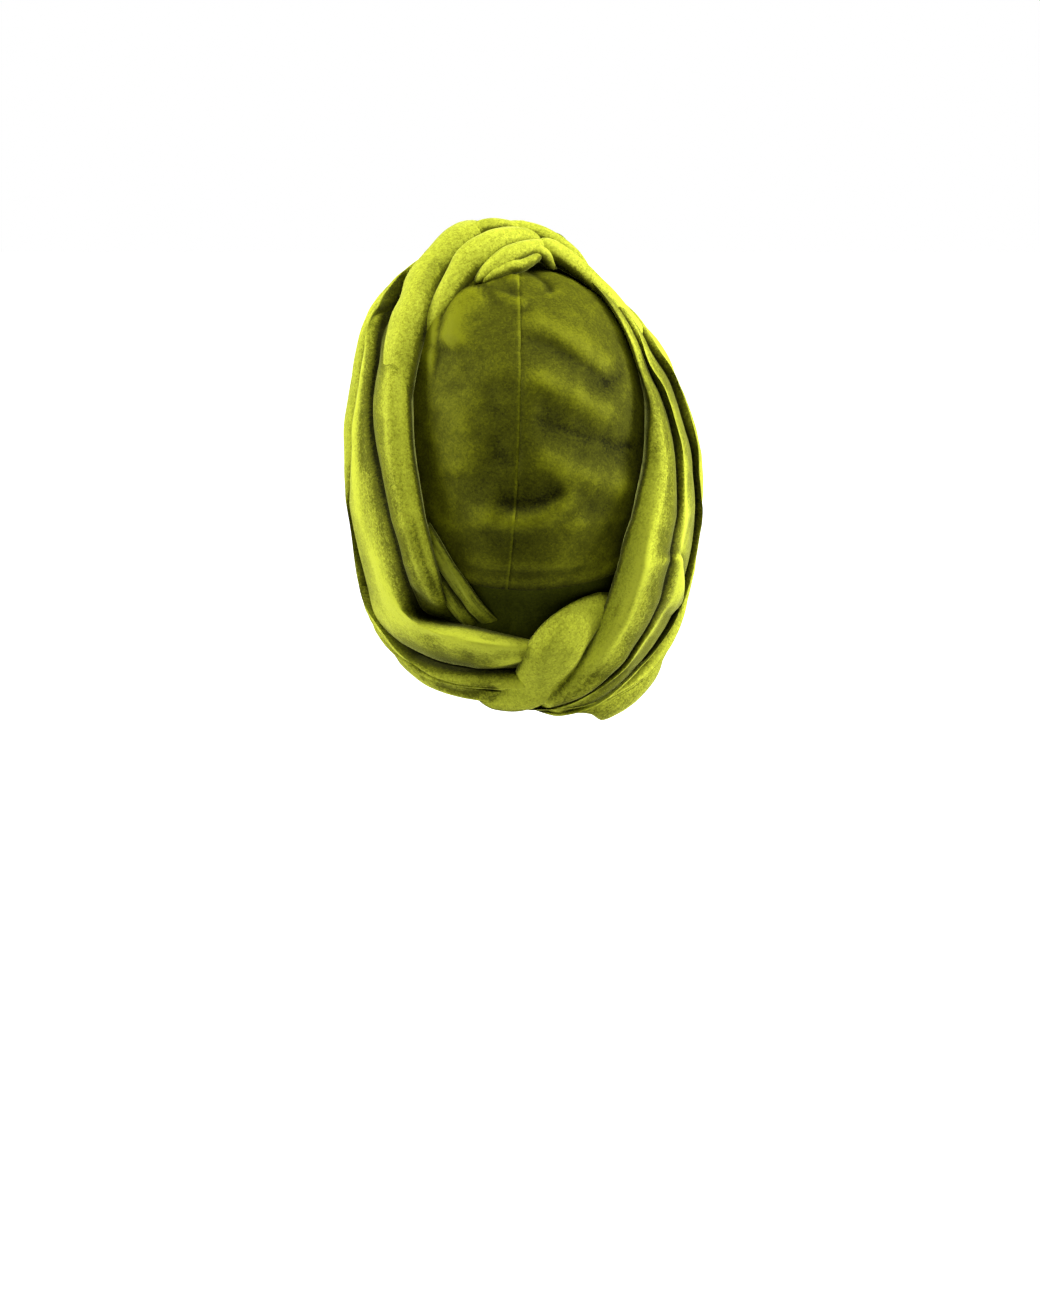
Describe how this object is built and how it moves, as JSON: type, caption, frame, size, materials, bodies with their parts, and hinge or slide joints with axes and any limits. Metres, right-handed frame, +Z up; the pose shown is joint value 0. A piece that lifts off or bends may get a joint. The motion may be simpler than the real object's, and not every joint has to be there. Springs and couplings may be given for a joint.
{
  "type": "turban headwrap",
  "caption": "Pre-shaped velvet turban headwrap: close cap with a centre-back seam, wound bundles of folds crossing at the nape and over the crown, and a centre wrap at the front.",
  "frame": {"origin": "centre of the head at its widest level, inside the cap, where the headwrap grips the head", "axes": "+Z up, -Y the way the wearer faces, +X the wearer's left"},
  "size_m": [0.2143, 0.2396, 0.283],
  "materials": {
    "cap_velvet": "olive green stretch velvet, short pile",
    "band_velvet": "olive green stretch velvet, in shade",
    "wrap_velvet": "chartreuse green velvet, lustrous short pile"
  },
  "bodies": {
    "root": {"cap_panel_left": "cap_velvet", "cap_panel_right": "cap_velvet", "nape_band": "band_velvet", "wrap_left": "wrap_velvet", "wrap_right": "wrap_velvet", "centre_wrap": "wrap_velvet", "tucked_end": "wrap_velvet"}
  },
  "joints": []
}
